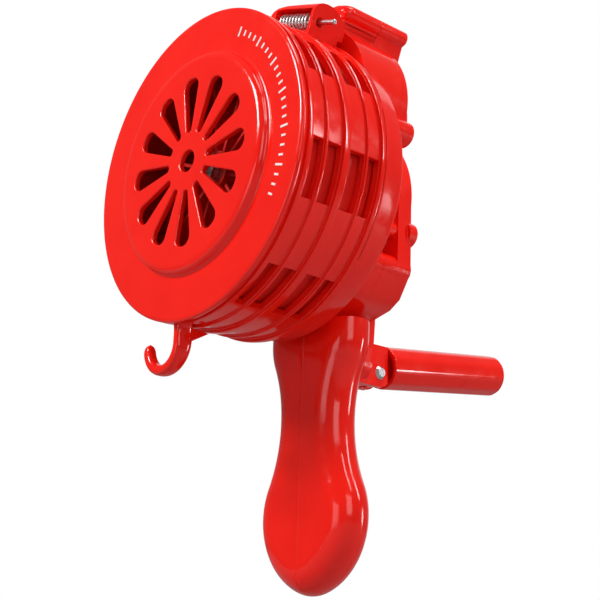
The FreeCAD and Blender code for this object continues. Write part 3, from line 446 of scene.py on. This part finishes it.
# ---- handle: two moulded halves with a fine groove between them
handleLooks = {
    "top": -62.3, "tip": -190.6, "depth": 11.5, "roundOver": 12.5, "middle": 82.5, "seam": 0.35,
    "level": 1.9, "levels": 60,
    "endHeight": 14.0, "columns": 40, "shoulder": (29.5, -69.5), "screwRadius": 3.3,
    # an arc's lower end, its centre across and up, and its radius, less than nothing where it is hollow
    "arcs": ((-81.86, -0.5, -69.5, 30.0), (-138.12, 86.9, -109.0, -65.9),
             (-189.58, -5.4, -154.5, 37.0), (-191.0, 0.0, -170.6, 20.0)),
    "screws": ((-70.0, 14.0), (-95.0, 14.0), (-181.0, 11.0))}


def handleInset(looks, x, z):
    # how far a point lies inside the outline
    halfWidth, end = looks["shoulder"]
    if z > end:
        return halfWidth - x
    for low, centreX, centreZ, radius in looks["arcs"]:
        if z >= low:
            away = math.hypot(x - centreX, z - centreZ)
            return radius - away if radius > 0 else away + radius
    return 0.0


def handleHalfWidth(looks, z):
    low, high = 0.0, 40.0
    for step in range(40):
        middle = (low + high) / 2
        low, high = (middle, high) if handleInset(looks, middle, z) > 0 else (low, middle)
    return low


def makeHandleHalf(looks, side, name, stands):
    bm = bmesh.new()
    end, columns = looks["endHeight"], looks["columns"]
    levels = [looks["top"] - step * looks["level"] for step in range(looks["levels"])]
    levels += [looks["tip"] + end * (1 - math.sin(math.radians(angle))) for angle in range(3, 90, 6)]
    rings = []
    for z in levels:
        half = handleHalfWidth(looks, z)
        points = []
        for step in range(columns + 1):
            x = half * math.cos(math.radians(step * 90 / columns)) if step < columns else 0.0
            inset = max(0.0, min(handleInset(looks, x, z) / looks["roundOver"], 1.0))
            y = looks["depth"] * math.sqrt(1 - (1 - inset) ** 2)
            if x < looks["seam"]:
                y -= looks["seam"] * 0.9 * min(1.0, y / 4)
            points.append((x, max(y, 0.0)))
        loop = [(x, -y) for x, y in reversed(points)] + [(x, y) for x, y in points[1:]]
        verts = [bm.verts.new((side * (x + 0.02), looks["middle"] + y, z)) for x, y in loop]
        rings.append([bm.edges.new((verts[i], verts[(i + 1) % len(verts)])) for i in range(len(verts))])
    bridgeAll(bm, rings)
    bmesh.ops.holes_fill(bm, edges=rings[0] + rings[-1])
    bmesh.ops.remove_doubles(bm, verts=bm.verts, dist=0.004)
    bmesh.ops.transform(bm, matrix=drumToFrame, verts=bm.verts)
    bmesh.ops.recalc_face_normals(bm, faces=bm.faces)
    cutters = bmesh.new()
    if side < 0:
        for z, seat in looks["screws"]:
            across = Matrix.Translation((-seat - 20.0, looks["middle"], z))
            across = across @ Matrix.Rotation(math.radians(90), 4, "Y")
            bmesh.ops.create_cone(cutters, cap_ends=True, segments=48, radius1=looks["screwRadius"],
                                  radius2=looks["screwRadius"], depth=40.0, matrix=drumToFrame @ across)
    return settle(bm, name, redPlastic, "housing", stands, cutters=cutters)


# ---- hook: one bent bar that thins towards its tip
hookLooks = {"front": 4.5, "shankX": -12.5, "root": -70.5, "centre": (-23.8, -82.0), "radius": 11.3,
             "halfWidth": 2.55, "halfDepth": (4.65, 2.7), "steps": 44, "points": 28, "square": 0.75,
             # side view of the fin between the hook and the drum, its left face and its thickness
             "fin": ((12.0, -74.2), (22.4, -75.3), (12.0, -81.0)), "finLeft": -14.4, "finThick": 3.8}


def makeHook(looks):
    bm = bmesh.new()
    centreX, centreZ = looks["centre"]
    rings = []
    straight = looks["root"] - centreZ
    arc = math.pi * looks["radius"]
    tip = looks["halfWidth"]
    total = straight + arc + tip
    for step in range(looks["steps"] + 1):
        gone = total * step / looks["steps"]
        if gone < straight:
            spot, turn = Vector((looks["shankX"], looks["root"] - gone)), 0.0
        elif gone < straight + arc:
            turn = (gone - straight) / looks["radius"]
            spot = Vector((math.cos(turn), -math.sin(turn))) * looks["radius"] + Vector((centreX, centreZ))
        else:
            turn = math.pi
            spot = Vector((centreX - looks["radius"], centreZ + gone - straight - arc))
        share = max(0.0, (gone - straight * 0.8) / (total - straight * 0.8))
        thick, thin = looks["halfDepth"]
        depth = thick + (thin - thick) * min(1.0, share * 1.15)
        width = looks["halfWidth"]
        if gone < straight:
            width += 2.6 * max(0.0, 1 - gone / 7.5) ** 2
        past = max(0.0, gone - straight - arc + tip * 0.9) / (tip * 1.9)
        shrink = math.sqrt(max(0.0004, 1 - past * past))
        side = Vector((math.cos(turn), -math.sin(turn)))
        verts = []
        for point in range(looks["points"]):
            angle = 2 * math.pi * point / looks["points"]
            across, inwards = (math.copysign(abs(part) ** looks["square"], part)
                               for part in (math.cos(angle), math.sin(angle)))
            out = width * shrink * across
            y = looks["front"] + depth + depth * shrink * inwards
            verts.append(bm.verts.new((spot.x + side.x * out, y, spot.y + side.y * out)))
        rings.append([bm.edges.new((verts[i], verts[(i + 1) % len(verts)])) for i in range(len(verts))])
    bridgeAll(bm, rings)
    bmesh.ops.holes_fill(bm, edges=rings[0] + rings[-1])
    face = bm.faces.new([bm.verts.new((looks["finLeft"], y, z)) for y, z in looks["fin"]])
    grown = bmesh.ops.extrude_face_region(bm, geom=[face])["geom"]
    grown = [item for item in grown if isinstance(item, bmesh.types.BMVert)]
    bmesh.ops.translate(bm, verts=grown, vec=(looks["finThick"], 0, 0))
    bmesh.ops.transform(bm, matrix=drumToFrame, verts=bm.verts)
    bmesh.ops.recalc_face_normals(bm, faces=bm.faces)
    return settle(bm, "hangingHook", redPlastic, "housing", "hanging_hook")


makeCover(coverLooks)
makeDrum(drumLooks)
makeLug(lugLooks)
makeHandleHalf(handleLooks, 1, "handleRightHalf", "handle_right")
makeHandleHalf(handleLooks, -1, "handleLeftHalf", "handle_left")
makeHook(hookLooks)
print("cover, drum, handle and hook made")


# ---- printed scale of plain white bars round the right of the cover
tickLooks = {"reach": 63.6, "first": 62.0, "step": 3.9, "count": 24, "width": 0.95, "short": 2.7, "long": 4.6,
             "every": 4, "proud": 0.12, "face": 0.0}


def makeTicks(looks):
    bm = bmesh.new()
    for count in range(looks["count"]):
        tall = looks["long"] if count % looks["every"] == 0 else looks["short"]
        turn = Matrix.Rotation(math.radians(looks["step"] * count - looks["first"]), 4, "Y")
        spot = Matrix.Translation((looks["reach"], looks["face"] - looks["proud"] / 2, 0.0))
        bmesh.ops.create_cube(bm, size=1.0, matrix=drumToFrame @ turn @ spot
                              @ Matrix.Diagonal((tall, looks["proud"] * 2, looks["width"], 1.0)))
    return settle(bm, "coverScale", printWhite, "housing")


makeTicks(tickLooks)


# ---- case: the ridge on its top is rebuilt with a rounded front that runs down in an S
ridgeLooks = {
    "angle": 70.0, "rear": 81.45, "low": 86.0, "top": 98.5, "corner": 0.66, "levels": 40,
    "cutAbove": 89.1, "cutHalf": 8.4, "cutHeight": 14.0, "cutFront": 54.0, "cutRear": 82.45,
    # half width, and depth of the front, against distance from the drum's axis
    "half": ((86.0, 5.5), (90.2, 5.5), (91.0, 6.6), (92.0, 7.6), (93.2, 8.0), (94.8, 8.0), (96.3, 7.4),
             (97.5, 6.2), (98.2, 4.4), (98.5, 2.0)),
    "front": ((86.0, 55.6), (88.2, 56.4), (90.0, 57.6), (92.0, 57.9), (94.2, 57.4), (96.2, 57.8),
              (97.6, 59.4), (98.3, 61.6), (98.5, 64.0))}


def along(table, value):
    # reads a table of places, with straight lines between its rows
    for (low, first), (high, second) in zip(table, table[1:]):
        if value <= high:
            share = max(0.0, (value - low) / (high - low))
            return first + (second - first) * share
    return table[-1][1]


def ridgeSpot(looks, across, out, y):
    turn = math.radians(looks["angle"])
    return Vector((out * math.cos(turn) + across * math.sin(turn), y,
                   out * math.sin(turn) - across * math.cos(turn)))


def makeRidge(looks):
    bm = bmesh.new()
    rings = []
    span = looks["top"] - looks["low"]
    for step in range(looks["levels"] + 1):
        out = looks["low"] + span * math.sin(math.radians(step * 90 / looks["levels"]))
        half, front = along(looks["half"], out), along(looks["front"], out)
        corner = half * looks["corner"]
        spots = [(half, looks["rear"])]
        spots += [(half - corner + corner * math.cos(math.radians(angle)),
                   front + corner - corner * math.sin(math.radians(angle))) for angle in range(0, 91, 9)]
        spots += [(-across, y) for across, y in reversed(spots)]
        verts = [bm.verts.new(ridgeSpot(looks, across, out, y)) for across, y in spots]
        rings.append([bm.edges.new((verts[i], verts[(i + 1) % len(verts)])) for i in range(len(verts))])
    bridgeAll(bm, rings)
    bmesh.ops.holes_fill(bm, edges=rings[0] + rings[-1])
    bmesh.ops.transform(bm, matrix=drumToFrame, verts=bm.verts)
    bmesh.ops.recalc_face_normals(bm, faces=bm.faces)
    return settle(bm, "housingRidge", redPlastic, "housing", crease=50.0)


def ridgeCutter(looks):
    bm = bmesh.new()
    middle = ridgeSpot(looks, 0.0, looks["cutAbove"] + looks["cutHeight"] / 2,
                       (looks["cutFront"] + looks["cutRear"]) / 2)
    box = Matrix.Translation(middle) @ Matrix.Rotation(math.radians(90.0 - looks["angle"]), 4, "Y")
    box = box @ Matrix.Diagonal((2 * looks["cutHalf"], looks["cutRear"] - looks["cutFront"],
                                 looks["cutHeight"], 1.0))
    bmesh.ops.create_cube(bm, size=1.0, matrix=drumToFrame @ box)
    return bm


makeRidge(ridgeLooks)


# ---- case, crank and grip: copies of the CAD pieces with their edges rounded, in millimetres
edgeRounding = {"gear_housing": 0.7, "rear_cover": 0.8, "crank_arm": 0.8, "grip_knuckle": 0.5,
                "crank_grip": 0.6}
firstRounding = {
    "gear_housing": {"radius": 2.2, "angle": 40.0, "segments": 6,
                     "within": lambda spot: 55.3 < spot.y < 63.0 and math.hypot(spot.x, spot.z) > 60.0},
}
for node, radius in edgeRounding.items():
    words = node.split("_")
    name = words[0] + "".join(word.capitalize() for word in words[1:])
    softened(node, name, radius, first=firstRounding.get(node),
             cutters=ridgeCutter(ridgeLooks) if node == "gear_housing" else None)
print("case, crank and grip softened")


# ---- camera, light and floor
cameraLooks = {"lens": 74.93, "sensor": 36.0, "place": (0.4377, -0.3999, -0.0960),
               "right": (0.6682, 0.7432, 0.0343), "up": (0.1804, -0.2066, 0.9617)}


def makeCamera(looks):
    data = bpy.data.cameras.new("camera")
    data.lens = looks["lens"]
    data.sensor_width = looks["sensor"]
    data.clip_start = 0.01
    obj = bpy.data.objects.new("camera", data)
    bpy.context.scene.collection.objects.link(obj)
    right = Vector(looks["right"]).normalized()
    back = right.cross(Vector(looks["up"])).normalized()
    up = back.cross(right)
    turn = Matrix((right, up, back)).transposed()
    obj.matrix_world = Matrix.Translation(looks["place"]) @ turn.to_4x4()
    bpy.context.scene.camera = obj


lampLooks = [
    # name, place, aims at, width, height, watts
    ("keyLamp", (-0.35, -1.15, 0.85), (0.0, -0.05, 0.08), 0.42, 0.42, 16.6),
    ("sideLamp", (0.66, 0.74, 0.02), (0.0, 0.0, -0.02), 0.08, 0.26, 1.7),
    ("ribLamp", (0.85, 0.55, 0.66), (0.0, -0.02, 0.06), 0.07, 0.5, 2.8),
    ("lowLamp", (0.15, -1.20, 0.05), (0.0, 0.0, -0.02), 0.5, 0.4, 1.3),
    ("fillLamp", (1.05, -0.45, 0.30), (0.0, 0.0, 0.05), 0.5, 0.5, 2.2),
    ("topLamp", (0.35, 0.10, 1.15), (0.0, 0.0, 0.10), 0.5, 0.4, 6.5),
    ("shoulderLamp", (0.95, -0.10, 1.00), (0.0, -0.05, 0.12), 0.12, 0.55, 2.2),
    ("backLamp", (-0.8, 0.9, 0.6), (0.0, 0.0, 0.05), 1.6, 1.6, 4.5),
]


def makeLamps():
    for name, place, target, width, height, watts in lampLooks:
        data = bpy.data.lights.new(name, "AREA")
        data.shape = "RECTANGLE"
        data.size, data.size_y = width, height
        data.energy = watts
        obj = bpy.data.objects.new(name, data)
        bpy.context.scene.collection.objects.link(obj)
        obj.location = place
        obj.rotation_euler = (Vector(target) - Vector(place)).to_track_quat("-Z", "Y").to_euler()


worldLooks = {"around": 0.07, "mirrored": 0.20}


def makeWorld(looks):
    world = bpy.data.worlds.new("studio")
    bpy.context.scene.world = world
    world.use_nodes = True
    tree = world.node_tree
    rays = tree.nodes.new("ShaderNodeLightPath")
    camera, through, glossy = (Flow(tree, rays.outputs[name])
                               for name in ("Is Camera Ray", "Is Transmission Ray", "Is Glossy Ray"))
    strength = camera.maths("MAXIMUM", camera, through)
    strength = strength.maths("MAXIMUM", strength, glossy * looks["mirrored"])
    strength = strength.maths("MAXIMUM", strength, looks["around"])
    sky = tree.nodes["Background"]
    sky.inputs["Color"].default_value = (1.0, 1.0, 1.0, 1.0)
    tree.links.new(strength.socket, sky.inputs["Strength"])


floorLooks = {"bounce": (0.34, 0.32, 0.32), "seen": (0.88, 0.88, 0.88), "roughness": 0.8, "half": 3.0,
              "height": -0.118}


def makeFloor(looks):
    bm = bmesh.new()
    bmesh.ops.create_grid(bm, x_segments=2, y_segments=2, size=looks["half"],
                          matrix=Matrix.Translation((0, 0, looks["height"])))
    mesh = bpy.data.meshes.new("floor")
    bm.to_mesh(mesh)
    bm.free()
    # the camera sees a white floor, and its bounce onto the object stays low
    paint = Paint("paleFloor")
    rays = paint.tree.nodes.new("ShaderNodeLightPath")
    seen = Flow(paint.tree, rays.outputs["Is Camera Ray"])
    colour = paint.mix(seen, looks["bounce"], looks["seen"])
    mesh.materials.append(paint.feed(Base_Color=colour, Roughness=looks["roughness"]))
    obj = bpy.data.objects.new("floor", mesh)
    bpy.context.scene.collection.objects.link(obj)


makeCamera(cameraLooks)
makeLamps()
makeWorld(worldLooks)
makeFloor(floorLooks)
bpy.context.scene.view_settings.view_transform = "Standard"
print("camera, light and floor made")
